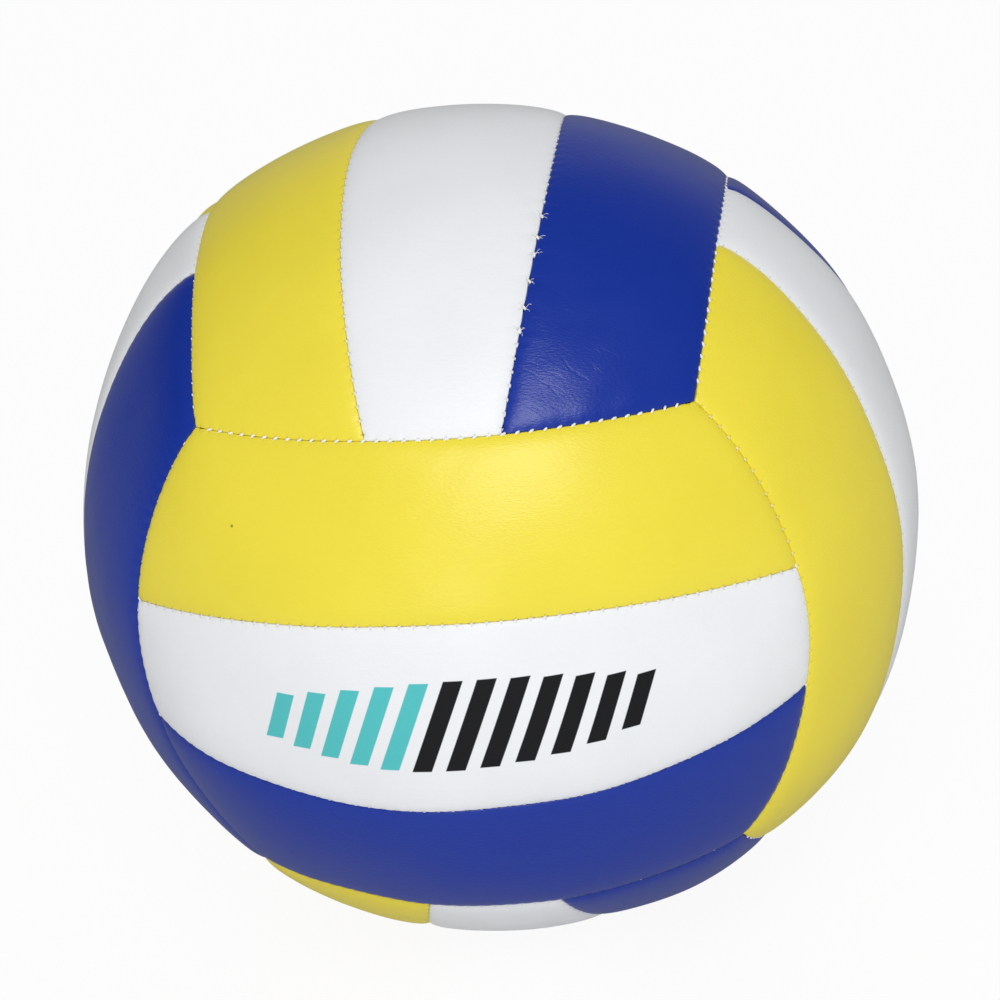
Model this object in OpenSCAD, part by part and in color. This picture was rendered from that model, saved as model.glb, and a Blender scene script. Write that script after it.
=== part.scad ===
// Machine-sewn beach volleyball of eighteen panels, in six faces of three strips.
// The ball's centre is the origin. The front face looks along -Y and the valve along +Y.

/* [Ball] */
// Circumference round the crowns of the panels
circumference = 670; // [655:1:685]
// Angle from the middle of a face to the seam beside its middle strip
strip_angle = 14.2; // [12.5:0.1:16]
// Angle that the ends of a face's strips bow past the cube's edge
end_bow = 6.7; // [4:0.1:8]
// Depth that the ball's own weight flattens where it stands
flat_depth = 0.2; // [0.1:0.05:0.4]

/* [Cover] */
// Thickness of the synthetic leather
skin_t = 0.9; // [0.7:0.05:1.1]
// Thickness of the foam under the leather
foam_t = 2.2; // [1.6:0.1:3]
// Thickness of the woven lining
lining_t = 0.4; // [0.3:0.05:0.6]
// Layer of adhesive between two layers of a panel
glue_t = 0.1; // [0.08:0.01:0.15]
// Depth of the groove along a seam
groove_depth = 1.2; // [1:0.1:1.4]
// Distance that a panel's crown stands back from its turned-in edge
groove_side = 0.9; // [0.7:0.1:1.2]
// Clear width between the turned-in edges of two panels
seam_gap = 0.4; // [0.3:0.05:0.5]
// Length that the hem stands in past the lining
hem_extra = 0.6; // [0.5:0.05:0.9]

/* [Thread] */
// Diameter of the sewing thread
thread_d = 0.8; // [0.6:0.05:0.9]
// Clearance under the thread
thread_clear = 0.06; // [0.04:0.01:0.1]
// Length at each end of a seam that the thread leaves bare
seam_margin = 1.6; // [1.4:0.1:3]

/* [Bladder] */
// Thickness of the rubber bladder
bladder_t = 0.8; // [0.6:0.05:1.2]
// Clearance between the bladder and the hems
bladder_clear = 0.15; // [0.1:0.05:0.3]

/* [Valve] */
// Bore that the pump's needle goes into
needle_d = 2; // [1.8:0.1:2.4]
// Depth of the needle bore under its funnel
needle_depth = 12; // [10:0.5:14]
// Width of the funnel that leads the needle in
funnel_d = 3.4; // [3:0.1:4]
// Depth of that funnel
funnel_depth = 0.9; // [0.6:0.1:1.2]
// Diameter of the valve core's shank
core_d = 5; // [4.4:0.1:5.6]
// Length of the valve core under its head
core_length = 16; // [15.6:0.2:18]
// Height of the tapered tip of the valve core
core_tip = 1.5; // [1:0.1:2]
// Width of the end of that tip
core_tip_d = 3; // [2.6:0.1:4]
// Diameter of the valve core's head
core_head_d = 6.6; // [6.2:0.1:7]
// Thickness of the valve core's head
core_head_t = 1.2; // [1:0.1:1.6]
// Outer diameter of the valve body
valve_body_d = 9; // [8.4:0.1:10]
// Depth of the valve below the ball's surface
valve_recess = 1; // [0.8:0.1:1.4]
// Length of the valve body that stands in past the core
body_tail = 1; // [0.6:0.1:2]
// Diameter of the flange bonded to the bladder
valve_flange_d = 28; // [24:1:32]
// Thickness of that flange
valve_flange_t = 1.4; // [1:0.1:1.8]
// Diameter of the cloth patch round the valve hole
patch_d = 32; // [28:1:36]
// Thickness of the patch
patch_t = 0.3; // [0.2:0.05:0.35]
// Clearance round the valve body where it passes the cover and bladder
valve_clear = 0.25; // [0.15:0.05:0.4]
// Clearance round the valve core in the valve body
core_clear = 0.08; // [0.05:0.01:0.1]

/* [Hidden] */
$fn = 96;
ball_r = circumference / (2 * PI);

// Layers from the outside in, each by the radius of its outer face.
foam_r = ball_r - skin_t - glue_t;
lining_r = foam_r - foam_t - glue_t;
lining_in_r = lining_r - lining_t;
patch_r = lining_in_r - glue_t;
hem_in_r = lining_in_r - hem_extra;
bladder_r = hem_in_r - bladder_clear;
bladder_in_r = bladder_r - bladder_t;

// Distances square to the middle of a seam.
hem_face = seam_gap / 2;
hem_back = hem_face + skin_t;
lining_side = hem_back + glue_t;
foam_side = lining_side + groove_side;

// The thread rests on the floor of the groove, over the gap between the two hems.
thread_r = ball_r - groove_depth + thread_clear + thread_d / 2;

// Radii along the valve's axis.
valve_top_r = ball_r - valve_recess;
core_seat_r = valve_top_r - core_head_t;
core_end_r = core_seat_r - core_length;
body_end_r = core_end_r - body_tail;
needle_top_r = valve_top_r - funnel_depth;

// Each end seam is a circle on the ball through two corners of the cube. The cone from the
// ball's centre through it has this half angle, and its axis leans away from that end.
lean = atan2(cos(end_bow) - sqrt(2 / 3), sin(end_bow)) - 45;
end_cone = 45 + lean + end_bow;
flat_cone = 90;

// Half length of the end seams and the strip seams, as angles round each seam's axis.
corner_turn = asin(sqrt(1 / 3) / sin(end_cone));
strip_turn = acos(cos(end_cone) / norm([cos(strip_angle) * cos(lean), sin(lean)]))
    - atan2(sin(lean), cos(strip_angle) * cos(lean));

// How far a shape that cuts another reaches past the ball, as a share of its radius
reach_share = 1.5;

YELLOW = "#ead92f";
WHITE = "#eef0f2";
BLUE = "#10309c";
FOAM = "#d9d4c8";
CLOTH = "#c9ccd0";
THREAD = "#f4f4f0";
RUBBER = "#26272a";

// Each face's name, its turn from the top face, and its strips' names from yellow to blue.
FACES = [
    ["top", [0, 0, 0], ["left", "middle", "right"]],
    ["bottom", [180, 0, 0], ["left", "middle", "right"]],
    ["front", [90, 90, 0], ["upper", "middle", "lower"]],
    ["back", [-90, 90, 0], ["upper", "middle", "lower"]],
    ["right", [90, 0, 90], ["front", "middle", "rear"]],
    ["left", [90, 0, -90], ["rear", "middle", "front"]],
];
STRIPS = [-1, 0, 1];
STRIP_COLORS = [YELLOW, WHITE, BLUE];
RESTING_FACE = "bottom";
VALVE_FACE = "back";
// The face whose last strip seam is sewn by hand, to close the ball
CLOSED_FACE = "top";

function panel_name(face, strip) = str(face[0], "_", face[2][strip + 1], "_panel");
function foam_name(face, strip) = str(face[0], "_", face[2][strip + 1], "_foam");
function lining_name(face) = str(face[0], "_lining");
function strip_thread_name(face) = str(face[0], "_strip_thread");
function end_thread_name(face) = str(face[0], "_end_thread");

// A seam is [turn to its axis, half angle of its cone, azimuth of its middle]. These are
// the seams of the top face, whose strips run along Y and lie side by side along X.
function end_seam(end) = [[end * lean, 0, 0], end_cone, end * 90];
function strip_seam(side) = [[0, side * (strip_angle - 90), 0], flat_cone, side > 0 ? 0 : 180];
// The same seam as the strip outside it sees it
function outer_seam(side) = [[0, side * (strip_angle + 90), 0], flat_cone, side > 0 ? 180 : 0];
// The end seam of the face beside this one
function next_seam(side) = [[0, side * (lean - 90), 0], 180 - end_cone, side > 0 ? 0 : 180];

function seams_round(strip) =
    strip == 0
    ? [end_seam(1), end_seam(-1), strip_seam(1), strip_seam(-1)]
    : [end_seam(1), end_seam(-1), outer_seam(strip), next_seam(strip)];

// Directions along the cone of a seam, and square to it towards the axis.
function along(cone) = [sin(cone), cos(cone)];
function across(cone) = [-cos(cone), sin(cone)];

// Everything on one side of a seam, from a border that lies inset from it.
module beside(seam, inset) {
    cone = seam[1];
    reach = ball_r * reach_share;
    far = inset * across(cone) + reach * along(cone);
    rotate(seam[0])
        rotate([0, 0, seam[2] + 180])
            rotate_extrude() polygon([[0, inset / sin(cone)], far, [far.x, 2 * reach], [0, 2 * reach]]);
}

// A slice of a hollow ball, cut to one strip of the top face.
module slice(strip, outer_r, inner_r, inset) {
    seams = seams_round(strip);
    intersection() {
        rotate([90, 0, 0])
            difference() {
                sphere(outer_r);
                sphere(inner_r);
            }
        beside(seams[0], inset);
        beside(seams[1], inset);
        beside(seams[2], inset);
        beside(seams[3], inset);
    }
}

// A slice whose crown stands back from its edges, above the groove's depth.
module crowned_slice(strip, outer_r, inner_r, inset) {
    slice(strip, outer_r, outer_r - 2 * groove_depth, inset + groove_side);
    slice(strip, outer_r - groove_depth, inner_r, inset);
}

module valve_hole() {
    cylinder(d = valve_body_d + 2 * valve_clear, h = ball_r * reach_share);
}

module panel(face, strip) {
    color(STRIP_COLORS[strip + 1])
        rotate(face[1])
            difference() {
                crowned_slice(strip, ball_r, hem_in_r, hem_face);
                crowned_slice(strip, ball_r - skin_t, hem_in_r - skin_t, hem_back);
                if (strip == 0 && face[0] == VALVE_FACE) valve_hole();
                if (strip == 0 && face[0] == RESTING_FACE)
                    translate([0, 0, ball_r - flat_depth]) cylinder(r = ball_r, h = ball_r);
            }
}

module backing(face, strip, outer_r, thickness, inset) {
    rotate(face[1])
        difference() {
            slice(strip, outer_r, outer_r - thickness, inset);
            if (strip == 0 && face[0] == VALVE_FACE) valve_hole();
        }
}

module foam(face, strip) {
    color(FOAM) backing(face, strip, foam_r, foam_t, foam_side);
}

module lining(face) {
    color(CLOTH)
        for (strip = STRIPS) backing(face, strip, lining_r, lining_t, lining_side);
}

// The thread along the part of a seam that lies within half_turn of its middle.
module seam_thread(face, seam, half_turn) {
    bare = seam_margin / (thread_r * sin(seam[1])) * 180 / PI;
    color(THREAD)
        rotate(face[1])
            rotate(seam[0])
                rotate([0, 0, seam[2] - half_turn + bare])
                    rotate_extrude(angle = 2 * (half_turn - bare))
                        translate(thread_r * along(seam[1])) circle(d = thread_d);
}

module strip_thread(face) {
    seam_thread(face, strip_seam(-1), strip_turn);
    if (face[0] != CLOSED_FACE) seam_thread(face, strip_seam(1), strip_turn);
}

module end_thread(face) {
    seam_thread(face, end_seam(-1), corner_turn);
    seam_thread(face, end_seam(1), corner_turn);
}

module closing_thread() {
    for (face = FACES)
        if (face[0] == CLOSED_FACE) seam_thread(face, strip_seam(1), strip_turn);
}

module bladder() {
    color(RUBBER)
        difference() {
            sphere(bladder_r);
            sphere(bladder_in_r);
            rotate([-90, 0, 0]) valve_hole();
        }
}

// A round piece of a hollow ball about the valve's axis.
module valve_washer(outer_r, thickness, width) {
    intersection() {
        difference() {
            sphere(outer_r);
            sphere(outer_r - thickness);
        }
        cylinder(d = width, h = ball_r * reach_share);
    }
}

module valve_patch() {
    color(CLOTH)
        rotate([-90, 0, 0])
            difference() {
                valve_washer(patch_r, patch_t, patch_d);
                valve_hole();
            }
}

module valve_body() {
    color(RUBBER)
        rotate([-90, 0, 0])
            difference() {
                union() {
                    translate([0, 0, body_end_r]) cylinder(d = valve_body_d, h = valve_top_r - body_end_r);
                    valve_washer(bladder_in_r - glue_t, valve_flange_t, valve_flange_d);
                }
                cylinder(d = core_d + 2 * core_clear, h = ball_r * reach_share);
                translate([0, 0, core_seat_r - core_clear])
                    cylinder(d = core_head_d + 2 * core_clear, h = ball_r);
            }
}

module valve_core() {
    color(THREAD)
        rotate([-90, 0, 0])
            rotate_extrude()
                polygon([
                    [0, needle_top_r - needle_depth],
                    [needle_d / 2, needle_top_r - needle_depth],
                    [needle_d / 2, needle_top_r],
                    [funnel_d / 2, valve_top_r],
                    [core_head_d / 2, valve_top_r],
                    [core_head_d / 2, core_seat_r],
                    [core_d / 2, core_seat_r],
                    [core_d / 2, core_end_r + core_tip],
                    [core_tip_d / 2, core_end_r],
                    [0, core_end_r],
                ]);
}

for (face = FACES) {
    for (strip = STRIPS) {
        panel(face, strip);
        foam(face, strip);
    }
    lining(face);
    strip_thread(face);
    end_thread(face);
}
closing_thread();
bladder();
valve_patch();
valve_body();
valve_core();
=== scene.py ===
import math
import bpy
import numpy as np
from mathutils import Euler, Matrix, Vector


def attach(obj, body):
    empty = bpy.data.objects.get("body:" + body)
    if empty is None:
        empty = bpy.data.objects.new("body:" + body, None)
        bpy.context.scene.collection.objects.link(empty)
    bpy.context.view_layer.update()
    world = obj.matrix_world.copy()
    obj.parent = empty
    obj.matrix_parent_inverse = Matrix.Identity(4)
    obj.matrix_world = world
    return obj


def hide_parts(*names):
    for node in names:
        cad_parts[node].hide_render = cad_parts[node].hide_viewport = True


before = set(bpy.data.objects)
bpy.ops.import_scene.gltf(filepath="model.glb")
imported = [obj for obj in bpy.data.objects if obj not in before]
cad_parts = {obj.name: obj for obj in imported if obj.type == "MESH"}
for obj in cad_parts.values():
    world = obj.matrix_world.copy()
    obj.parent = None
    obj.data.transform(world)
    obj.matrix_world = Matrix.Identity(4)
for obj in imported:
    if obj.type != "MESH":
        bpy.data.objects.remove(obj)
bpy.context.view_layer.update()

print("frame loaded,", len(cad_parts), "nodes")

# A sewn volleyball: six faces of three strips. The top face's strips run along Y, the others are it turned.
mm = 0.001
ball = {
    "radius": 670 * mm / (2 * math.pi),
    "stripAngle": math.radians(14.2),  # from a face's middle to its strip seams
    "endBow": math.radians(6.7),  # how far the ends of the strips bow out
    "stripPitch": 3.55 * mm,  # stitches along the strip seams
    "endPitch": 3.42 * mm,  # stitches round the ends
    "floor": -106.434 * mm,
}
radius = ball["radius"]
stripAngle = ball["stripAngle"]
lean = math.atan2(math.cos(ball["endBow"]) - math.sqrt(2 / 3), math.sin(ball["endBow"])) - math.pi / 4
endCone = math.pi / 4 + lean + ball["endBow"]
endRing = radius * math.sin(endCone)
cornerTurn = math.asin(math.sqrt(1 / 3) / math.sin(endCone))

faces = {
    "top": ((0, 0, 0), ("left", "middle", "right")),
    "bottom": ((180, 0, 0), ("left", "middle", "right")),
    "front": ((90, 90, 0), ("upper", "middle", "lower")),
    "back": ((-90, 90, 0), ("upper", "middle", "lower")),
    "right": ((90, 0, 90), ("front", "middle", "rear")),
    "left": ((90, 0, -90), ("rear", "middle", "front")),
}
stripColours = ("yellow", "white", "blue")


def stripName(face, strip):
    return f"{face}_{faces[face][1][strip + 1]}"


def faceMatrix(face):
    return np.array(Euler([math.radians(a) for a in faces[face][0]]).to_matrix())


rounds = {"grid": 24, "wander": 8}  # in which places that depend on each other are worked out

camera = {
    "right": (0.9881, 0.1040, -0.1130),
    "up": (0.0504, 0.4752, 0.8784),
    "forward": (-0.1450, 0.8737, -0.4643),
    "distance": 1.321,
    "lens": 185.3,
    "sensor": 36,
    "aim": (0.13 * mm, 4.1 * mm),  # the picture's middle, right of and above the ball's
}


def makeCamera():
    data = bpy.data.cameras.new("camera")
    eye = bpy.data.objects.new("camera", data)
    bpy.context.scene.collection.objects.link(eye)
    right, up, forward = (Vector(camera[k]).normalized() for k in ("right", "up", "forward"))
    place = -camera["distance"] * forward
    look = (camera["aim"][0] * right + camera["aim"][1] * up - place).normalized()
    side = look.cross(up).normalized()
    turned = Matrix((side, side.cross(look), -look)).transposed()
    eye.matrix_world = Matrix.Translation(place) @ turned.to_4x4()
    data.lens = camera["lens"]
    data.sensor_width = camera["sensor"]
    bpy.context.scene.camera = eye


makeCamera()


# How the soft, slightly uneven ball stands out of round: direction in the picture in degrees, counted from
# the right, height in mm and width in degrees.
lobes = (
    (137, 2.0, 12), (116, 0.3, 8), (72, -1.8, 14), (45, -0.4, 8), (333, 1.3, 15),
    (279, -0.7, 12), (218, -0.8, 11), (203, -0.4, 6), (188, 0.2, 8), (235, 0.9, 8), (95, -0.5, 8),
)
unevenness = {"height": 0.09 * mm, "shortest": 26 * mm, "longest": 70 * mm, "waves": 14, "seed": 7}


def outOfRound(p):
    side, up = np.array(camera["right"]), np.array(camera["up"])
    total = np.zeros(len(p))
    for degrees, height, width in lobes:
        turn = math.radians(degrees)
        towards = math.cos(turn) * side + math.sin(turn) * up
        apart = np.degrees(np.arccos(np.clip(p @ towards, -1, 1)))
        total += height * mm * np.exp(-(apart / width) ** 2 / 2)
    return total + wavesAt(p, unevenness)


# Where the leather is creased from handling: place along and across the strip and width, in mm, and how much.
creasePatches = {
    "top_right_panel": ((-68, 40, 17, 1.0), (-84, 28, 12, 0.7), (-56, 27, 9, 0.8), (-40, 30, 9, 0.4)),
    "front_upper_panel": ((0, -45, 30, 0.25),),
    "left_front_panel": ((10, 40, 30, 0.3),),
    "front_lower_panel": ((0, 50, 40, 0.2),),
}
plainCreases = 0.12
ripple = {"height": 0.022 * mm, "shortest": 7 * mm, "longest": 15 * mm, "waves": 16, "seed": 23}


def creasesAt(node, along, across):
    total = np.full(len(along), plainCreases)
    for placeAlong, placeAcross, width, amount in creasePatches.get(node, ()):
        apart = (along - placeAlong) ** 2 + (across - placeAcross) ** 2
        total += amount * np.exp(-apart / width ** 2)
    return np.clip(total, 0, 1)


# Waves of random headings and lengths, added up over the ball.
def wavesAt(p, look):
    draws = np.random.RandomState(look["seed"])
    total = np.zeros(len(p))
    for _ in range(look["waves"]):
        heading = draws.normal(size=3)
        heading /= np.linalg.norm(heading)
        length = draws.uniform(look["shortest"], look["longest"])
        start = draws.uniform(0, 2 * math.pi)
        total += look["height"] * np.sin(2 * math.pi * radius / length * (p @ heading) + start)
    return total


# A direction on a face from its angles across and along the strips.
def unit(across, along):
    return np.stack([np.sin(across) * np.cos(along), np.sin(along), np.cos(across) * np.cos(along)], -1)


# The place along, some way back from the seam at a strip's end.
def endAlong(across, back):
    flat = np.cos(across) * math.cos(lean)
    reach = np.sqrt(flat ** 2 + math.sin(lean) ** 2)
    return np.arccos(np.cos(endCone - back / radius) / reach) - np.arctan2(math.sin(lean), flat)


# The place across, some way beside the seam of the middle strip.
def seamAcross(along, back, outward):
    return stripAngle + outward * np.arcsin(np.sin(back / radius) / np.cos(along))


# The place across, some way back from the face's border beside an outer strip.
def borderAcross(along, back):
    return lean + np.arcsin(np.cos(endCone + back / radius) / np.cos(along))


# The last seam is closed by hand: its wider, uneven stitches, by their place along a machine's row.
handSewn = {
    "face": "top",
    "side": 1,
    "places": (-20.0, -18.95, -17.15, -14.95, -12.6, -11.0, -8.9, -7.25),
    "pull": 1.25,  # how much harder they pull than the machine's
    "reach": 2.6,  # how much further their dimples spread
    "thick": 1.2,  # width of a stitch, against the machine's
    "proud": 0.4 * mm,  # how far they lie above the machine's
}
handCounts = np.arange(len(handSewn["places"])) + handSewn["places"][0]


# Counts of hand-sewn stitches from places in the machine's row, and which of them are sewn by hand.
def byHand(counts):
    places = handSewn["places"]
    after = np.where(counts > places[-1], counts - places[-1] + handCounts[-1], counts)
    inside = (counts > places[0]) & (counts < places[-1])
    return np.where(inside, np.interp(counts, places, handCounts), after), inside


# The other way round, for one stitch.
def placeByHand(number):
    places = handSewn["places"]
    if number > handCounts[-1]:
        return number - handCounts[-1] + places[-1]
    return float(np.interp(number, handCounts, places)) if number > handCounts[0] else float(number)


# Distance from each seam round a strip, the place along it counted in stitches, and how hard they pull.
def seamsRound(strip, p, closing=0):
    found = []
    for end in (-1, 1):
        axis = (0, -end * math.sin(lean), math.cos(lean))
        middle = (0, end * math.cos(lean), math.sin(lean))
        away = radius * (endCone - np.arccos(np.clip(p @ axis, -1, 1)))
        found.append((away, endRing * np.arctan2(p[:, 0], p @ middle) / ball["endPitch"], np.ones(len(p))))
    for side in ((-1, 1) if strip == 0 else (strip,)):
        wall = (side * math.cos(stripAngle), 0, -math.sin(stripAngle))
        away = radius * np.arcsin(p @ wall) * (-1 if strip == 0 else 1)
        counts, pull = radius * np.arcsin(p[:, 1]) / ball["stripPitch"], np.ones(len(p))
        if side == closing:
            counts, inside = byHand(counts)
            pull = np.where(inside, handSewn["pull"], 1.0)
        found.append((away, counts, pull))
    if strip:
        axis = (strip * math.cos(lean), 0, -math.sin(lean))
        middle = (strip * math.sin(lean), 0, math.cos(lean))
        away = radius * (np.arccos(np.clip(p @ axis, -1, 1)) - endCone)
        found.append((away, endRing * np.arctan2(p[:, 1], p @ middle) / ball["endPitch"], np.ones(len(p))))
    return found


# One at each stitch, falling to nothing half-way to the next.
def atStitch(counts):
    return (0.5 + 0.5 * np.cos(2 * math.pi * counts)) ** 2


# The side faces' strip seams wander from true where they were pulled while sewing: degrees across the strips.
seamWander = {
    "left": {"all": -2.4, "more": -3.2, "middle": 38, "width": 13},
    "right": {"all": 2.8, "more": 0.4, "middle": 44, "width": 8},
    "fromEnds": 6.5 * mm,
    "fromBorders": 22 * mm,
}


def fadeIn(away, width):
    return 1 - np.exp(-(np.clip(away, 0, None) / width) ** 2)


def wander(face, p):
    look = seamWander.get(face)
    if not look:
        return p
    toEnds = np.minimum(*(away for away, _, _ in seamsRound(0, p)[:2]))
    share = 1 - np.exp(-np.clip(toEnds, 0, None) / seamWander["fromEnds"])
    for strip in (-1, 1):
        share = share * fadeIn(seamsRound(strip, p)[-1][0], seamWander["fromBorders"])
    along = np.degrees(np.arcsin(p[:, 1]))
    degrees = look["all"] + look["more"] * np.exp(-((along - look["middle"]) / look["width"]) ** 2)
    turn = np.radians(share * degrees)
    return np.stack([p[:, 0] * np.cos(turn) + p[:, 2] * np.sin(turn), p[:, 1],
                     p[:, 2] * np.cos(turn) - p[:, 0] * np.sin(turn)], -1)


# Where a point was before it wandered.
def withoutWander(face, p):
    q = p
    for _ in range(rounds["wander"]):
        q = p - (wander(face, q) - q)
        q = q / np.linalg.norm(q, axis=1)[:, None]
    return q


panelEdge = {
    "gap": 0.015 * mm,  # between the seam's middle and the turned-in edge
    "roll": 0.3 * mm,  # radius of the turn into the seam
    "slope": 0.72 * mm,  # how far the panel slopes down to the seam
    "slopeWidth": 2.0 * mm,
    "sag": 0.3 * mm,  # how far the foam gives further out
    "sagWidth": 6 * mm,
    "notch": 0.24 * mm,  # how far a stitch pulls the edge back
    "notchWidth": 0.5 * mm,
    "pucker": 0.16 * mm,  # dimple that a stitch pulls into the leather
    "puckerWidth": 1.4 * mm,
    "hem": 4.2 * mm,  # depth of the turned-in edge
}
panelGrid = {
    "rows": 236,
    "columns": {0: 68, 1: 74, -1: 74},
    "steps": (0, 0.05, 0.13, 0.25, 0.42, 0.7, 1.1, 1.6, 2.2, 2.9),  # mm from the edge
    "skin": 0.85 * mm,
    "smooth": 50,  # degrees
}
foamGrid = {
    "rows": 70,
    "columns": {0: 20, 1: 22, -1: 22},
    "steps": (0, 0.8, 2.0),
    "side": 2.15 * mm,  # clear of the turned-in leather
    "outside": 1.05 * mm,  # under the leather's outer face
    "inside": 3.18 * mm,  # the inner face lies on the lining
    "least": 0.2 * mm,  # thickness left where the panel dips
    "smooth": 35,
}


# How far the leather lies under the round: its turned-in edge, its slopes and the stitches' dimples.
def dropAt(strip, p, closing=0):
    edge = panelEdge
    squares = np.zeros(len(p))
    for away, counts, pull in seamsRound(strip, p, closing):
        off = np.clip(away - edge["gap"], 0, None)
        turn = np.clip(edge["roll"] - off, 0, edge["roll"])
        fall = edge["roll"] - np.sqrt(edge["roll"] ** 2 - turn ** 2)
        fall = fall + edge["slope"] * np.exp(-off / edge["slopeWidth"])
        fall = fall + edge["sag"] * np.exp(-off / edge["sagWidth"])
        spread = edge["puckerWidth"] * np.where(pull > 1, handSewn["reach"], 1)
        fall = fall + edge["pucker"] * pull * atStitch(counts) * np.exp(-(off / spread) ** 2)
        squares += fall ** 2
    return np.sqrt(squares)


# How far back from the edge each of a grid's rows lies at least, and its share of the way across the rest.
def bandOf(count, steps):
    last = len(steps) - 1
    index = np.arange(count + 1)
    back = np.array(steps)[np.minimum(np.minimum(index, count - index), last)] * mm
    return back, np.clip((index - last) / (count - 2 * last), 0, 1)


# Directions of a strip's grid on the top face, its outer rows at the set steps from the seams.
def stripGrid(strip, rows, columns, steps, side, notch, closing=0):
    backRow, shareRow = (a[:, None] for a in bandOf(rows, steps))
    backColumn, shareColumn = (a[None, :] for a in bandOf(columns, steps))
    across = np.full((rows + 1, columns + 1), 0.0 if strip == 0 else stripAngle * 1.8)  # a first guess
    along = np.zeros_like(across)
    kind = 1 if strip else 0
    for _ in range(rounds["grid"]):
        p = unit(across, along).reshape(-1, 3)
        pull = [notch * atStitch(c).reshape(across.shape) for _, c, _ in seamsRound(kind, p, closing)]
        fadeRow = np.exp(-backRow / panelEdge["notchWidth"])
        fadeColumn = np.exp(-backColumn / panelEdge["notchWidth"])
        endPull = np.where(shareRow < 0.5, pull[0], pull[1]) * fadeRow
        along = (2 * shareRow - 1) * endAlong(across, side + backRow + endPull)
        if kind:
            low = seamAcross(along, side + backColumn + pull[2] * fadeColumn, 1)
            high = borderAcross(along, side + backColumn + pull[3] * fadeColumn)
        else:
            low = -seamAcross(along, side + backColumn + pull[2] * fadeColumn, -1)
            high = seamAcross(along, side + backColumn + pull[3] * fadeColumn, -1)
        across = low + shareColumn * (high - low)
    if strip < 0:
        across, along = -across[:, ::-1], along[:, ::-1]
    return unit(across, along)


def clearSelection():
    if bpy.context.object and bpy.context.object.mode != "OBJECT":
        bpy.ops.object.mode_set(mode="OBJECT")
    bpy.ops.object.select_all(action="DESELECT")


def take(piece):
    clearSelection()
    piece.select_set(True)
    bpy.context.view_layer.objects.active = piece


def setPoints(piece, points):
    piece.data.vertices.foreach_set("co", np.ascontiguousarray(points, dtype=float).ravel())
    piece.data.update()


def getPoints(piece):
    flat = np.zeros(len(piece.data.vertices) * 3)
    piece.data.vertices.foreach_get("co", flat)
    return flat.reshape(-1, 3)


# A flat grid, and the row and the column of each of its points.
def addGrid(name, rows, columns):
    clearSelection()
    bpy.ops.mesh.primitive_grid_add(x_subdivisions=columns, y_subdivisions=rows, size=2)
    piece = bpy.context.object
    piece.name = piece.data.name = name
    flat = getPoints(piece)
    column = np.rint((flat[:, 0] + 1) / 2 * columns).astype(int)
    row = np.rint((flat[:, 1] + 1) / 2 * rows).astype(int)
    return piece, row, column


# Numbers at a piece's points, which its material reads.
def addNumbers(piece, name, values):
    layer = piece.data.attributes.new(name, "FLOAT", "POINT")
    layer.data.foreach_set("value", np.ascontiguousarray(values, dtype=float))


# Extrudes what is selected and brings each new point to its distance from the ball's centre.
def extrudeTo(piece, distance):
    before = len(piece.data.vertices)
    bpy.ops.mesh.extrude_region_move()
    bpy.ops.object.mode_set(mode="OBJECT")
    points = getPoints(piece)
    fresh = points[before:]
    points[before:] = fresh / np.linalg.norm(fresh, axis=1)[:, None] * distance(fresh)
    setPoints(piece, points)


def selectBorder(piece):
    take(piece)
    bpy.ops.object.mode_set(mode="EDIT")
    bpy.ops.mesh.select_mode(type="EDGE")
    bpy.ops.mesh.select_all(action="DESELECT")
    bpy.ops.mesh.select_non_manifold()


def selectWhole(piece):
    take(piece)
    bpy.ops.object.mode_set(mode="EDIT")
    bpy.ops.mesh.select_all(action="SELECT")


def applyModifier(piece, kind, **settings):
    take(piece)
    modifier = piece.modifiers.new(kind.lower(), kind)
    for key, value in settings.items():
        setattr(modifier, key, value)
    bpy.ops.object.modifier_apply(modifier=modifier.name)


def finishPiece(piece, material, nodes, angle):
    take(piece)
    bpy.ops.object.shade_smooth_by_angle(angle=math.radians(angle))
    piece.data.materials.clear()
    piece.data.materials.append(material)
    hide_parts(*nodes)
    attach(piece, "ball")


valveHole = {"width": 9.5 * mm, "dip": 0.55 * mm, "dipWidth": 2.2 * mm, "sides": 64, "cut": 30 * mm}


def valveDip(p):
    off = radius * np.arccos(np.clip(p @ (0, 1, 0), -1, 1)) - valveHole["width"] / 2
    return valveHole["dip"] * np.exp(-(np.clip(off, 0, None) / valveHole["dipWidth"]) ** 2)


def cutValveHole(piece):
    clearSelection()
    bpy.ops.mesh.primitive_cylinder_add(
        vertices=valveHole["sides"], radius=valveHole["width"] / 2, depth=valveHole["cut"],
        location=(0, radius, 0), rotation=(math.pi / 2, 0, 0))
    punch = bpy.context.object
    applyModifier(piece, "BOOLEAN", operation="DIFFERENCE", object=punch, solver="EXACT")
    bpy.data.objects.remove(punch)


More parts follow.
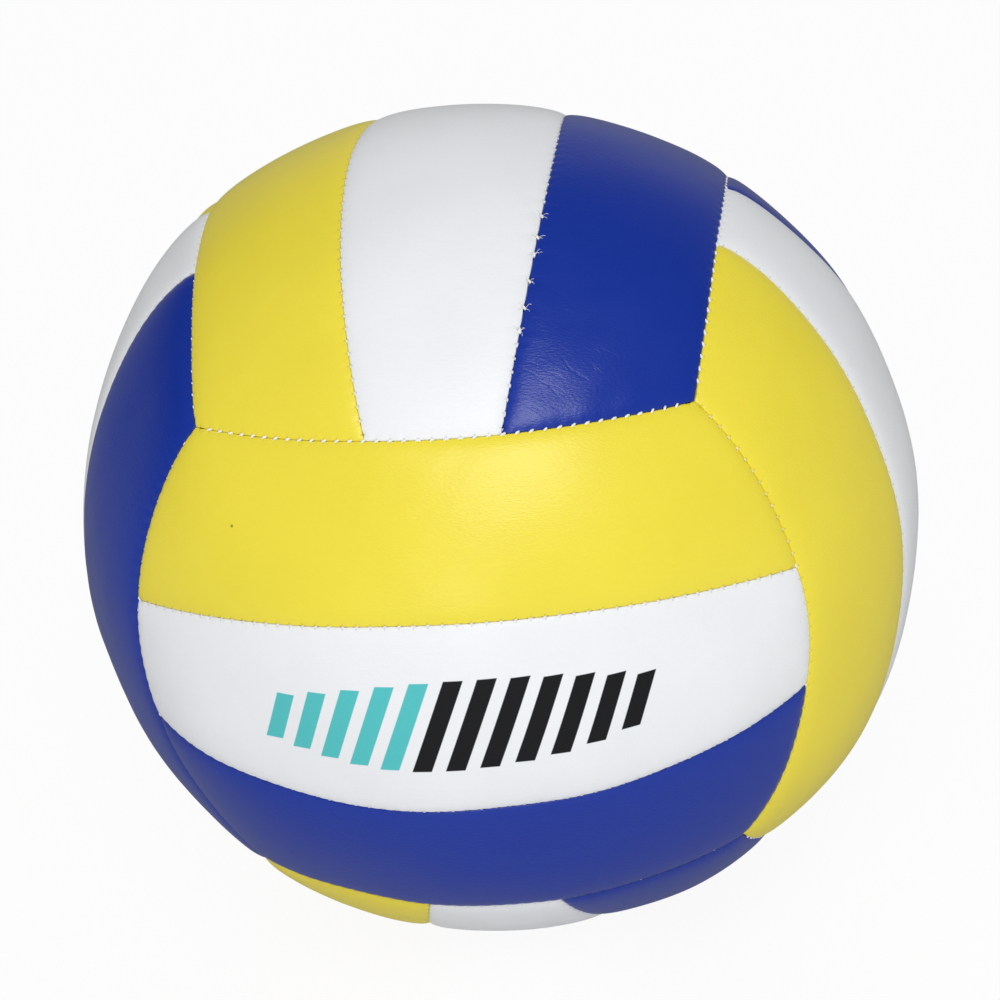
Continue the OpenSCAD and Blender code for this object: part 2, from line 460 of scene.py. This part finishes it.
def makePanel(face, strip, material):
    node = stripName(face, strip) + "_panel"
    rows, columns = panelGrid["rows"], panelGrid["columns"][strip]
    closing = handSewn["side"] if face == handSewn["face"] and strip >= 0 else 0
    grid = stripGrid(strip, rows, columns, panelGrid["steps"], panelEdge["gap"], panelEdge["notch"], closing)
    piece, row, column = addGrid(stripName(face, strip) + "_leather", rows, columns)
    local = grid[row, column]
    turned = wander(face, local) @ faceMatrix(face).T
    seams = seamsRound(strip, local, closing)
    along, across = (radius * np.arcsin(local[:, axis]) / mm for axis in (1, 0))
    creased = creasesAt(node, along, across)
    height = radius + outOfRound(turned) - dropAt(strip, local, closing) - valveDip(turned)
    height += creased * wavesAt(turned, ripple)
    points = turned * height[:, None]
    points[:, 2] = np.maximum(points[:, 2], ball["floor"])
    setPoints(piece, points)
    aways, counts = (np.stack([seam[part] for seam in seams]) for part in (0, 1))
    nearest, picked = aways.argmin(0), np.arange(len(local))
    addNumbers(piece, "seamAway", aways[nearest, picked] / mm)
    addNumbers(piece, "seamCount", counts[nearest, picked])
    addNumbers(piece, "placeAlong", along)
    addNumbers(piece, "placeAcross", across)
    addNumbers(piece, "creased", creased)
    selectBorder(piece)
    extrudeTo(piece, lambda fresh: radius - panelEdge["hem"])
    applyModifier(piece, "SOLIDIFY", thickness=panelGrid["skin"], offset=-1, use_even_offset=False)
    if node == "back_middle_panel":
        cutValveHole(piece)
    finishPiece(piece, material, [node], panelGrid["smooth"])


def makeFoam(face, strip, material):
    node = stripName(face, strip) + "_foam"
    rows, columns = foamGrid["rows"], foamGrid["columns"][strip]
    grid = stripGrid(strip, rows, columns, foamGrid["steps"], foamGrid["side"], 0)
    piece, row, column = addGrid(stripName(face, strip) + "_padding", rows, columns)
    local = grid[row, column]
    matrix = faceMatrix(face)
    setPoints(piece, wander(face, local) @ matrix.T * (radius - foamGrid["inside"]))
    selectWhole(piece)

    def outerFace(fresh):
        p = fresh / np.linalg.norm(fresh, axis=1)[:, None]
        drop = dropAt(strip, withoutWander(face, p @ matrix))
        height = radius + outOfRound(p) - drop - foamGrid["outside"] - valveDip(p)
        return np.maximum(height, radius - foamGrid["inside"] + foamGrid["least"])[:, None]

    extrudeTo(piece, outerFace)
    selectWhole(piece)
    bpy.ops.mesh.normals_make_consistent(inside=False)
    bpy.ops.object.mode_set(mode="OBJECT")
    if node == "back_middle_foam":
        cutValveHole(piece)
    finishPiece(piece, material, [node], foamGrid["smooth"])


# Materials


# The linear colour that nodes take, from an sRGB code.
def hexColour(code):
    parts = [int(code[i:i + 2], 16) / 255 for i in (1, 3, 5)]
    return tuple(v / 12.92 if v <= 0.04045 else ((v + 0.055) / 1.055) ** 2.4 for v in parts) + (1,)


def setInputs(tree, node, values):
    for key, value in values.items():
        if isinstance(value, bpy.types.NodeSocket):
            tree.links.new(value, node.inputs[key])
        else:
            node.inputs[key].default_value = value


def addNode(tree, kind, values=None, **settings):
    node = tree.nodes.new("ShaderNode" + kind)
    for key, value in settings.items():
        setattr(node, key, value)
    setInputs(tree, node, values or {})
    return node


def shaded(colour, share):
    return tuple(c * share for c in colour[:3]) + (1,)


def newMaterial(name):
    material = bpy.data.materials.new(name)
    material.use_nodes = True
    tree = material.node_tree
    tree.nodes.clear()
    surface = addNode(tree, "BsdfPrincipled")
    addNode(tree, "OutputMaterial", {"Surface": surface.outputs["BSDF"]})
    return material, tree, surface


# A bump from a height, as strong and as deep as the look says.
def addBump(tree, height, look):
    values = {"Height": height, "Strength": look["strength"], "Distance": look["depth"]}
    return addNode(tree, "Bump", values).outputs[0]


def calc(tree, operation, first, second=0.0):
    return addNode(tree, "Math", {0: first, 1: second}, operation=operation).outputs[0]


def blendColour(tree, share, first, second):
    return addNode(tree, "Mix", {0: share, 6: first, 7: second}, data_type="RGBA").outputs[2]


leatherLook = {
    "yellow": "#f3e13e",
    "white": "#eff1f4",
    "blue": "#002f9e",
    "pebble": (1.1, 0.42, 0.42),  # mm of one pebble of the embossed grain, drawn out along the roll
    "pebbleHeight": 0.036,  # mm
    "fineScale": 0.6,  # of a finer grain between the pebbles
    "fineShare": 0.6,
    "creaseLength": 30.0,  # mm
    "creaseApart": 7.0,
    "creaseShift": 20.0,  # per metre of height, so that no two panels are creased alike
    "creaseTurn": -20.0,  # degrees from straight across the strip
    "creaseHeight": 0.034,  # mm
    "creaseWidth": 0.022,  # as a share of the noise that draws them
    "creaseBreaks": 90.0,  # per metre, where the creases come and go
    "breaksFrom": 0.42,
    "breaksTo": 0.6,
    "cloud": 45.0,  # per metre, the faint patches of tone
    "cloudShade": 0.93,
    "roughness": 0.35,
    "rougher": 0.05,
    "glossier": 0.04,
    "ior": {"yellow": 1.5, "white": 1.34, "blue": 1.57},
    # Painted shade round a needle hole: how much narrower it is along the seam, mm from the seam, and its
    # fade.
    "hole": {"narrow": 3.2, "away": 0.5, "from": 0.01, "to": 0.1, "share": 0.3, "shade": 0.25},
    "speck": (-0.05128, -0.08222, 0.04468),  # a grain of dirt pressed into one yellow strip
    "dirt": {"colour": "#4a3f14", "from": 0.2 * mm, "to": 0.5 * mm, "share": 0.75},
}
printLook = {
    "teal": "#52c0c2",
    "black": "#191a1c",
    "bars": 12,
    "pitch": 8.2,  # mm from one slanted bar to the next
    "width": 4.8,
    "slant": 0.42,  # mm along for each mm down
    "start": -49.0,
    "tall": 25.0,
    "smallest": 0.4,  # height of the end bars, as a share of the middle ones
    "tealBars": 5,
    "softSide": 0.012,  # share of the pitch over which the ink's side fades
    "softEnd": 0.1,  # mm, the same at its ends
}


# Embossed PVC leather: a fine pebble grain with a few handling creases, half-glossy, with painted shade
# in the needle holes.
def leather(name, kind, printed=False):
    look, hole, dirt = leatherLook, leatherLook["hole"], leatherLook["dirt"]
    material, tree, surface = newMaterial(name)
    place = addNode(tree, "TexCoord").outputs["Object"]
    away, stitch, across, along, creased = (
        addNode(tree, "Attribute", attribute_name=layer).outputs["Fac"]
        for layer in ("seamAway", "seamCount", "placeAcross", "placeAlong", "creased"))
    tone = addNode(tree, "TexNoise", {"Vector": place, "Scale": look["cloud"], "Detail": 3.0}).outputs["Fac"]
    base = hexColour(look[kind])
    colour = blendColour(tree, tone, shaded(base, look["cloudShade"]), base)
    if printed:
        colour = addPrint(tree, colour)
    # Painted shade in the needle holes: at each stitch near the seam's middle, the colour is blended towards
    # a dark copy of the leather's own colour.
    fromStitch = calc(tree, "FRACT", calc(tree, "ADD", stitch, 0.5))
    fromStitch = calc(tree, "ABSOLUTE", calc(tree, "SUBTRACT", fromStitch, 0.5))
    sideways = calc(tree, "POWER", calc(tree, "MULTIPLY", fromStitch, hole["narrow"]), 2.0)
    inwards = calc(tree, "POWER", calc(tree, "SUBTRACT", away, hole["away"]), 2.0)
    dark = addNode(tree, "MapRange", {
        "Value": calc(tree, "ADD", sideways, inwards), "From Min": hole["from"], "From Max": hole["to"],
        "To Min": hole["share"], "To Max": 0.0}).outputs[0]
    colour = blendColour(tree, dark, colour, shaded(base, hole["shade"]))
    if kind == "yellow":
        far = addNode(tree, "VectorMath", {0: place, 1: look["speck"]}, operation="DISTANCE").outputs["Value"]
        share = addNode(tree, "MapRange", {"Value": far, "From Min": dirt["from"], "From Max": dirt["to"],
                                           "To Min": dirt["share"], "To Max": 0.0}).outputs[0]
        colour = blendColour(tree, share, colour, hexColour(dirt["colour"]))
    scaled = addNode(tree, "VectorMath", {0: place, 1: [1 / (size * mm) for size in look["pebble"]]},
                     operation="MULTIPLY").outputs[0]
    pebble = addNode(tree, "TexVoronoi", {"Vector": scaled, "Scale": 1.0}).outputs["Distance"]
    fine = addNode(tree, "TexNoise", {"Vector": scaled, "Scale": look["fineScale"],
                                      "Detail": 2.0}).outputs["Fac"]
    grain = calc(tree, "ADD", pebble, calc(tree, "MULTIPLY", fine, look["fineShare"]))
    grainBump = addNode(tree, "Bump", {"Height": grain, "Strength": 1.0,
                                       "Distance": look["pebbleHeight"] * mm}).outputs[0]
    flat = addNode(tree, "CombineXYZ", {0: across, 1: along}).outputs[0]
    turned = addNode(tree, "VectorRotate", {"Vector": flat, "Angle": -math.radians(look["creaseTurn"])},
                     rotation_type="Z_AXIS").outputs[0]
    creaseScale = (1 / look["creaseLength"], 1 / look["creaseApart"], 1)
    shrunk = addNode(tree, "VectorMath", {0: turned, 1: creaseScale}, operation="MULTIPLY").outputs[0]
    height = addNode(tree, "SeparateXYZ", {0: place}).outputs[2]
    lifted = addNode(tree, "CombineXYZ", {2: calc(tree, "MULTIPLY", height, look["creaseShift"])}).outputs[0]
    wrinkled = addNode(tree, "VectorMath", {0: shrunk, 1: lifted}, operation="ADD").outputs[0]
    wrinkle = addNode(tree, "TexNoise", {"Vector": wrinkled, "Scale": 1.0, "Detail": 3.0,
                                         "Roughness": 0.6}).outputs["Fac"]
    wrinkle = calc(tree, "ABSOLUTE", calc(tree, "SUBTRACT", wrinkle, 0.5))
    fold = addNode(tree, "MapRange", {"Value": wrinkle, "From Min": 0.0, "From Max": look["creaseWidth"],
                                      "To Min": -1.0, "To Max": 0.0}).outputs[0]
    broken = addNode(tree, "TexNoise", {"Vector": place, "Scale": look["creaseBreaks"],
                                        "Detail": 1.0}).outputs["Fac"]
    broken = addNode(tree, "MapRange", {"Value": broken, "From Min": look["breaksFrom"],
                                        "From Max": look["breaksTo"]}).outputs[0]
    fold = calc(tree, "MULTIPLY", fold, calc(tree, "MULTIPLY", creased, broken))
    creaseBump = addNode(tree, "Bump", {"Height": fold, "Strength": 1.0, "Normal": grainBump,
                                        "Distance": look["creaseHeight"] * mm}).outputs[0]
    gloss = addNode(tree, "MapRange", {"Value": tone, "To Min": look["roughness"] - look["glossier"],
                                       "To Max": look["roughness"] + look["rougher"]}).outputs[0]
    setInputs(tree, surface, {"Base Color": colour, "Roughness": gloss, "IOR": look["ior"][kind],
                              "Normal": creaseBump})
    return material


# A plain row of slanted bars, printed on the front strip.
def addPrint(tree, under):
    look = printLook
    along = addNode(tree, "Attribute", attribute_name="placeAlong").outputs["Fac"]
    down = addNode(tree, "Attribute", attribute_name="placeAcross").outputs["Fac"]
    leaned = calc(tree, "ADD", along, calc(tree, "MULTIPLY", down, look["slant"]))
    step = calc(tree, "DIVIDE", calc(tree, "SUBTRACT", leaned, look["start"]), look["pitch"])
    bar = calc(tree, "FLOOR", step)
    aside = calc(tree, "ABSOLUTE", calc(tree, "SUBTRACT", calc(tree, "FRACT", step), 0.5))
    halfBar = look["width"] / look["pitch"] / 2
    inBar = addNode(tree, "MapRange", {
        "Value": aside, "From Min": halfBar - look["softSide"], "From Max": halfBar + look["softSide"],
        "To Min": 1.0, "To Max": 0.0}).outputs[0]
    turn = calc(tree, "MULTIPLY", calc(tree, "ADD", bar, 1.0), math.pi / (look["bars"] + 1))
    swell = calc(tree, "MULTIPLY", calc(tree, "SINE", turn), 1 - look["smallest"])
    half = calc(tree, "MULTIPLY", calc(tree, "ADD", swell, look["smallest"]), look["tall"] / 2)
    inHeight = addNode(tree, "MapRange", {
        "Value": calc(tree, "SUBTRACT", calc(tree, "ABSOLUTE", down), half), "From Min": -look["softEnd"],
        "From Max": look["softEnd"], "To Min": 1.0, "To Max": 0.0}).outputs[0]
    inRow = calc(tree, "MULTIPLY", calc(tree, "GREATER_THAN", bar, -0.5),
                  calc(tree, "LESS_THAN", bar, look["bars"] - 0.5))
    ink = calc(tree, "MULTIPLY", calc(tree, "MULTIPLY", inBar, inHeight), inRow)
    tealShare = calc(tree, "LESS_THAN", bar, look["tealBars"] - 0.5)
    inkColour = blendColour(tree, tealShare, hexColour(look["black"]), hexColour(look["teal"]))
    return blendColour(tree, ink, under, inkColour)


foamLook = {
    "cell": 0.5 * mm,
    "depth": 0.08 * mm,
    "strength": 0.7,
    "dark": "#cfc8b6",
    "light": "#e6e0d2",
    "roughness": 0.9,
}


# Closed-cell polyethylene foam: matt and cream-coloured, with cut cells about half a millimetre wide.
def foamMaterial():
    look = foamLook
    material, tree, surface = newMaterial("closedCellFoam")
    place = addNode(tree, "TexCoord").outputs["Object"]
    cell = addNode(tree, "TexVoronoi", {"Vector": place, "Scale": 1 / look["cell"]}).outputs["Distance"]
    colour = blendColour(tree, cell, hexColour(look["dark"]), hexColour(look["light"]))
    bump = addBump(tree, cell, look)
    setInputs(tree, surface, {"Base Color": colour, "Roughness": look["roughness"], "Normal": bump})
    return material


liningLook = {
    "thread": 0.6 * mm,  # from one thread to the next
    "depth": 0.06 * mm,
    "strength": 0.8,
    "dark": "#b9bdc2",
    "light": "#dfe2e5",
    "roughness": 0.85,
    "sheen": 0.15,
}


# Woven polyester lining: a plain weave of threads 0.6 mm apart, matt, each face's threads along its own
# strips.
def liningMaterial(name, first, second):
    look = liningLook
    material, tree, surface = newMaterial(name)
    place = addNode(tree, "TexCoord").outputs["Object"]
    parts = addNode(tree, "SeparateXYZ", {0: place})
    turns = 2 * math.pi / (2 * look["thread"])
    warp = calc(tree, "SINE", calc(tree, "MULTIPLY", parts.outputs[first], turns))
    weft = calc(tree, "SINE", calc(tree, "MULTIPLY", parts.outputs[second], turns))
    weave = calc(tree, "MULTIPLY", warp, weft)
    share = addNode(tree, "MapRange", {"Value": weave, "From Min": -1.0}).outputs[0]
    colour = blendColour(tree, share, hexColour(look["dark"]), hexColour(look["light"]))
    bump = addBump(tree, weave, look)
    setInputs(tree, surface, {"Base Color": colour, "Roughness": look["roughness"],
                              "Sheen Weight": look["sheen"], "Normal": bump})
    return material


twistLook = {
    "strand": 0.25 * mm,
    "depth": 0.05 * mm,
    "strength": 0.8,
    "dark": "#e4e3de",
    "light": "#fdfcf9",
    "roughness": 0.55,
    "sheen": 0.2,
}


# Bonded polyester thread: off-white, twisted strands 0.25 mm wide, a soft shine.
def threadMaterial():
    look = twistLook
    material, tree, surface = newMaterial("bondedPolyesterThread")
    place = addNode(tree, "TexCoord").outputs["Object"]
    strand = addNode(tree, "TexNoise", {"Vector": place, "Scale": 1 / look["strand"]}).outputs["Fac"]
    colour = blendColour(tree, strand, hexColour(look["dark"]), hexColour(look["light"]))
    bump = addBump(tree, strand, look)
    setInputs(tree, surface, {"Base Color": colour, "Roughness": look["roughness"],
                              "Sheen Weight": look["sheen"], "Normal": bump})
    return material


rubberLook = {
    "bloom": 160.0,  # per metre, the faint patches
    "grit": 2600.0,  # per metre, the mould's own grain
    "depth": 0.02 * mm,
    "strength": 0.5,
    "spread": 0.1,  # of the roughness
}


# Moulded rubber: dark and satin from the mould, with a faint bloom that comes and goes.
def rubberMaterial(name, dark, light, roughness):
    look = rubberLook
    material, tree, surface = newMaterial(name)
    place = addNode(tree, "TexCoord").outputs["Object"]
    bloom = addNode(tree, "TexNoise", {"Vector": place, "Scale": look["bloom"], "Detail": 4.0}).outputs["Fac"]
    grit = addNode(tree, "TexNoise", {"Vector": place, "Scale": look["grit"], "Detail": 2.0}).outputs["Fac"]
    colour = blendColour(tree, bloom, hexColour(dark), hexColour(light))
    gloss = addNode(tree, "MapRange", {"Value": bloom, "To Min": roughness - look["spread"],
                                       "To Max": roughness + look["spread"]}).outputs[0]
    bump = addBump(tree, grit, look)
    setInputs(tree, surface, {"Base Color": colour, "Roughness": gloss, "Normal": bump})
    return material


leathers = {c: leather(c + "EmbossedPvcLeather", c) for c in stripColours}
printedLeather = leather("whitePrintedPvcLeather", "white", printed=True)
foam = foamMaterial()
threadFinish = threadMaterial()
print("materials made")

for faceName in faces:
    for stripSide in (-1, 0, 1):
        finish = leathers[stripColours[stripSide + 1]]
        if faceName == "front" and stripSide == 0:
            finish = printedLeather
        makePanel(faceName, stripSide, finish)
        makeFoam(faceName, stripSide, foam)
    print(faceName, "face sewn")


# Thread

threadLook = {
    "radius": 0.31 * mm,
    "runShare": 0.9,  # thickness of the running threads, as a share of the stitches'
    "reach": 1.45 * mm,  # from the seam's middle to the running thread behind the hem
    "runDepth": 2.4 * mm,
    "crown": 1.2 * mm,  # depth of the stitch's top under the ball's surface
    "bend": (0.2 * mm, 0.1 * mm),  # where the top ends: off the seam's middle, under the crown
    "shoulder": (0.42 * mm, 0.5 * mm),  # where the stitch turns down, the same two
    "slant": 0.42 * mm,  # how far each end of a stitch's top lies along the seam
    "margin": 2.6 * mm,  # without stitches at a seam's ends
    "skew": 0.18,  # radians, how unevenly the stitches are turned
    "uneven": 0.05,  # mm, how unevenly high they lie
    "ahead": 0.1,  # of a stitch, to find where the seam is heading
    "seed": 11,
    "smooth": 60,  # degrees
    "sunk": 0.28 * mm,  # how much deeper the stitches beside the middle strips lie
    "raised": {  # how much higher those at the strips' ends lie
        "top": 0.2 * mm, "right": 0.08 * mm, "left": -0.14 * mm, "front": -0.25 * mm, "back": -0.12 * mm,
        "bottom": -0.2 * mm,
    },
}
frayLook = {
    "fibres": 7,
    "radius": 0.05 * mm,
    "shortest": 0.7 * mm,
    "longest": 1.8 * mm,
    "spread": 0.7,  # radians along the seam
    "start": 0.2 * mm,  # from the seam's middle
    "rise": 0.7 * mm,
    "arch": 2.2,  # radians of a sine over the whole fibre, up to its top
    "archTop": 1.6,
    "lift": 0.1 * mm,
    "kink": 0.12,  # mm
    "steps": (0, 0.3, 0.6, 0.85, 1),
}


def drawThread(points, thick):
    clearSelection()
    bpy.ops.curve.primitive_nurbs_path_add()
    piece = bpy.context.object
    curve = piece.data
    curve.splines.clear()
    spline = curve.splines.new("POLY")
    spline.points.add(len(points) - 1)
    for place, point in zip(spline.points, points):
        place.co = (*point, 1)
    curve.bevel_depth = thick
    curve.bevel_resolution = 1
    curve.use_fill_caps = True
    bpy.ops.object.convert(target="MESH")
    return bpy.context.object


def addStitch():
    look = threadLook
    reach, crown, run, slant = (look[key] for key in ("reach", "crown", "runDepth", "slant"))
    (bend, high), (shoulder, low) = look["bend"], look["shoulder"]
    path = [(-reach, 0, -run), (-shoulder, slant, -crown - low), (-bend, slant, -crown - high),
            (0, 0, -crown), (bend, -slant, -crown - high), (shoulder, -slant, -crown - low), (reach, 0, -run)]
    return drawThread(path, look["radius"])


def stripSeamAt(side, number):
    along = number * ball["stripPitch"] / radius
    return unit(np.array(side * stripAngle), np.array(along))


def endSeamAt(end, number):
    turn = number * ball["endPitch"] / endRing
    axis = np.array((0, -end * math.sin(lean), math.cos(lean)))
    middle = np.array((0, end * math.cos(lean), math.sin(lean)))
    side = np.array((1.0, 0, 0))
    return math.cos(endCone) * axis + math.sin(endCone) * (math.cos(turn) * middle + math.sin(turn) * side)


seamKinds = {
    "strip": {
        "at": stripSeamAt,
        "half": radius * float(endAlong(np.array(stripAngle), np.array(0.0))),
        "pitch": ball["stripPitch"],
    },
    "end": {"at": endSeamAt, "half": endRing * cornerTurn, "pitch": ball["endPitch"]},
}


def frayedEnds(place, heading, cross, height, draws):
    look = frayLook
    parts = []
    for number in range(look["fibres"]):
        side = 1 if number % 2 else -1
        length = draws.uniform(look["shortest"], look["longest"])
        swing = draws.normal(0, look["spread"])
        ways = side * cross * math.cos(swing) + heading * math.sin(swing)
        start = place * (height - threadLook["crown"]) + ways * look["start"]
        points = []
        for t in look["steps"]:
            rise = look["rise"] * math.sin(min(t * look["arch"], look["archTop"])) + look["lift"]
            kink = draws.normal(0, look["kink"]) * mm
            points.append(start + ways * length * t + place * rise + heading * kink)
        parts.append(drawThread(points, look["radius"]))
    return parts


# One seam's stitches, each its own copy, and the two running threads behind it.
def sewSeam(stitch, face, kind, which, draws, raised, hand=False):
    look, seam, matrix, byPlace = threadLook, seamKinds[kind], faceMatrix(face), handSewn["places"]
    last = int((seam["half"] - look["margin"]) / seam["pitch"])
    numbers = list(range(-last, last + 1))
    if hand:
        numbers = [placeByHand(n) for n in range(-last, last + len(byPlace)) if placeByHand(n) <= last]
    parts = []
    runs = {-1: [], 1: []}
    for number in numbers:
        place, ahead = (matrix @ wander(face, seam["at"](which, n)[None])[0]
                        for n in (number, number + look["ahead"]))
        heading = (ahead - place) / np.linalg.norm(ahead - place)
        cross = np.cross(heading, place)
        height = radius + outOfRound(place[None])[0]
        copy = stitch.copy()
        copy.data = stitch.data.copy()
        big, proud = 1.0, raised
        if hand and byPlace[0] < number < byPlace[-1]:
            big, proud = handSewn["thick"], raised + handSewn["proud"]
            parts += frayedEnds(place, heading, cross, height, draws)
        skew = draws.normal(0, look["skew"]) * big
        axes = np.stack([cross * math.cos(skew) + heading * math.sin(skew),
                         heading * math.cos(skew) - cross * math.sin(skew), place], 1)
        spot = Matrix(axes.tolist()).to_4x4() @ Matrix.Diagonal((1, big, 1, 1))
        spot.translation = Vector(place * (height + proud + draws.normal(0, look["uneven"]) * mm))
        copy.matrix_world = spot
        bpy.context.scene.collection.objects.link(copy)
        parts.append(copy)
        for side in runs:
            runs[side].append(place * (height - look["runDepth"]) + side * cross * look["reach"])
    for side in runs:
        parts.append(drawThread(runs[side], look["radius"] * look["runShare"]))
    return parts


def joinThread(parts, name, nodes):
    clearSelection()
    for part in parts:
        part.select_set(True)
    bpy.context.view_layer.objects.active = parts[0]
    bpy.ops.object.join()
    piece = bpy.context.object
    bpy.ops.object.transform_apply(location=True, rotation=True, scale=True)
    piece.name = piece.data.name = name
    finishPiece(piece, threadFinish, nodes, threadLook["smooth"])


def sewBall():
    stitch = addStitch()
    draws = np.random.RandomState(threadLook["seed"])
    for face in faces:
        strips = {}
        for side in (-1, 1):
            hand = face == handSewn["face"] and side == handSewn["side"]
            strips[side] = sewSeam(stitch, face, "strip", side, draws, -threadLook["sunk"], hand)
        if face == handSewn["face"]:
            joinThread(strips.pop(handSewn["side"]), "closingStitches", ["closing_thread"])
        joinThread(sum(strips.values(), []), face + "_strip_stitches", [face + "_strip_thread"])
        ends = [sewSeam(stitch, face, "end", end, draws, threadLook["raised"][face]) for end in (-1, 1)]
        joinThread(sum(ends, []), face + "_end_stitches", [face + "_end_thread"])
    bpy.data.objects.remove(stitch)


sewBall()
print("seams stitched")

# Carried-over nodes
nodeFinish = {
    "bladder": rubberMaterial("butylBladderRubber", "#141416", "#232326", 0.5),
    "valve_patch": liningMaterial("wovenPatchCloth", 0, 2),
    "valve_body": rubberMaterial("mouldedButylRubber", "#1b1b1d", "#2c2c2f", 0.45),
    "valve_core": rubberMaterial("paleMouldedRubber", "#cfcdc6", "#e6e4de", 0.5),
}
liningAxes = {  # the two ways in which each face's lining threads run
    "top": (0, 1), "bottom": (0, 1), "front": (0, 2), "back": (0, 2), "left": (1, 2), "right": (1, 2),
}
for faceName, (first, second) in liningAxes.items():
    nodeFinish[faceName + "_lining"] = liningMaterial(faceName + "WovenLining", first, second)
for nodeName, finish in nodeFinish.items():
    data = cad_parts[nodeName].data
    data.materials.clear()
    data.materials.append(finish)
print("inner parts finished")


# Studio
studio = {
    "ambient": 0.575,
    "key": {"watts": 9.7, "size": 0.7, "distance": 1.6, "azimuth": 15, "elevation": 44},
    "fill": {"watts": 2.6, "size": 0.4, "distance": 1.8, "azimuth": -4, "elevation": 8},
    "backdrop": {"from": 0.7, "to": 1.0, "strength": 0.5},  # what the ball mirrors of the wall behind it
    "floor": {"colour": "#fafafa", "size": 60, "roughness": 0.9, "glow": 0.93, "mirrored": 0.28},
}


def addLamp(name):
    look = studio[name]
    data = bpy.data.lights.new(name, "AREA")
    data.energy = look["watts"]
    data.shape = "SQUARE"
    data.size = look["size"]
    lamp = bpy.data.objects.new(name, data)
    turn, rise = math.radians(look["azimuth"]), math.radians(look["elevation"])
    away = Vector((math.sin(turn) * math.cos(rise), -math.cos(turn) * math.cos(rise), math.sin(rise)))
    lamp.location = away * look["distance"]
    lamp.rotation_mode = "QUATERNION"
    lamp.rotation_quaternion = away.to_track_quat("Z", "Y")
    bpy.context.scene.collection.objects.link(lamp)


# One for rays that reach a surface as a picture or a mirror image, and nothing for soft light.
def seenDirectly(tree):
    rays = addNode(tree, "LightPath")
    first = calc(tree, "MAXIMUM", rays.outputs["Is Camera Ray"], rays.outputs["Is Glossy Ray"])
    return calc(tree, "MAXIMUM", first, rays.outputs["Is Transmission Ray"]), rays.outputs["Is Camera Ray"]


def makeWorld():
    look = studio["backdrop"]
    world = bpy.data.worlds.new("whiteStudio")
    bpy.context.scene.world = world
    world.use_nodes = True
    tree = world.node_tree
    tree.nodes.clear()
    seen, pictured = seenDirectly(tree)
    heading = addNode(tree, "SeparateXYZ", {0: addNode(tree, "TexCoord").outputs["Generated"]})
    wall = addNode(tree, "MapRange", {"Value": heading.outputs[1], "From Min": look["from"],
                                      "From Max": look["to"], "To Max": look["strength"]}).outputs[0]
    shown = calc(tree, "MAXIMUM", wall, pictured)
    strength = addNode(tree, "Mix", {0: seen, 2: studio["ambient"], 3: shown}).outputs[0]
    back = addNode(tree, "Background", {"Color": (1, 1, 1, 1), "Strength": strength})
    addNode(tree, "OutputWorld", {"Surface": back.outputs[0]})


def makeFloor():
    look = studio["floor"]
    clearSelection()
    bpy.ops.mesh.primitive_plane_add(size=look["size"], location=(0, 0, ball["floor"]))
    floor = bpy.context.object
    floor.name = "floor"
    material, tree, surface = newMaterial("paintedFloor")
    setInputs(tree, surface, {"Base Color": hexColour(look["colour"]), "Roughness": look["roughness"]})
    seen, pictured = seenDirectly(tree)
    shine = calc(tree, "MAXIMUM", pictured, look["mirrored"])
    glow = addNode(tree, "Emission", {"Color": (1, 1, 1, 1), "Strength": shine})
    mix = addNode(tree, "MixShader", {0: calc(tree, "MULTIPLY", seen, look["glow"]), 1: surface.outputs[0],
                                      2: glow.outputs[0]})
    output = next(node for node in tree.nodes if node.type == "OUTPUT_MATERIAL")
    tree.links.new(mix.outputs[0], output.inputs["Surface"])
    floor.data.materials.append(material)


makeWorld()
makeFloor()
addLamp("key")
addLamp("fill")
bpy.context.scene.view_settings.view_transform = "Standard"
print("studio lit")
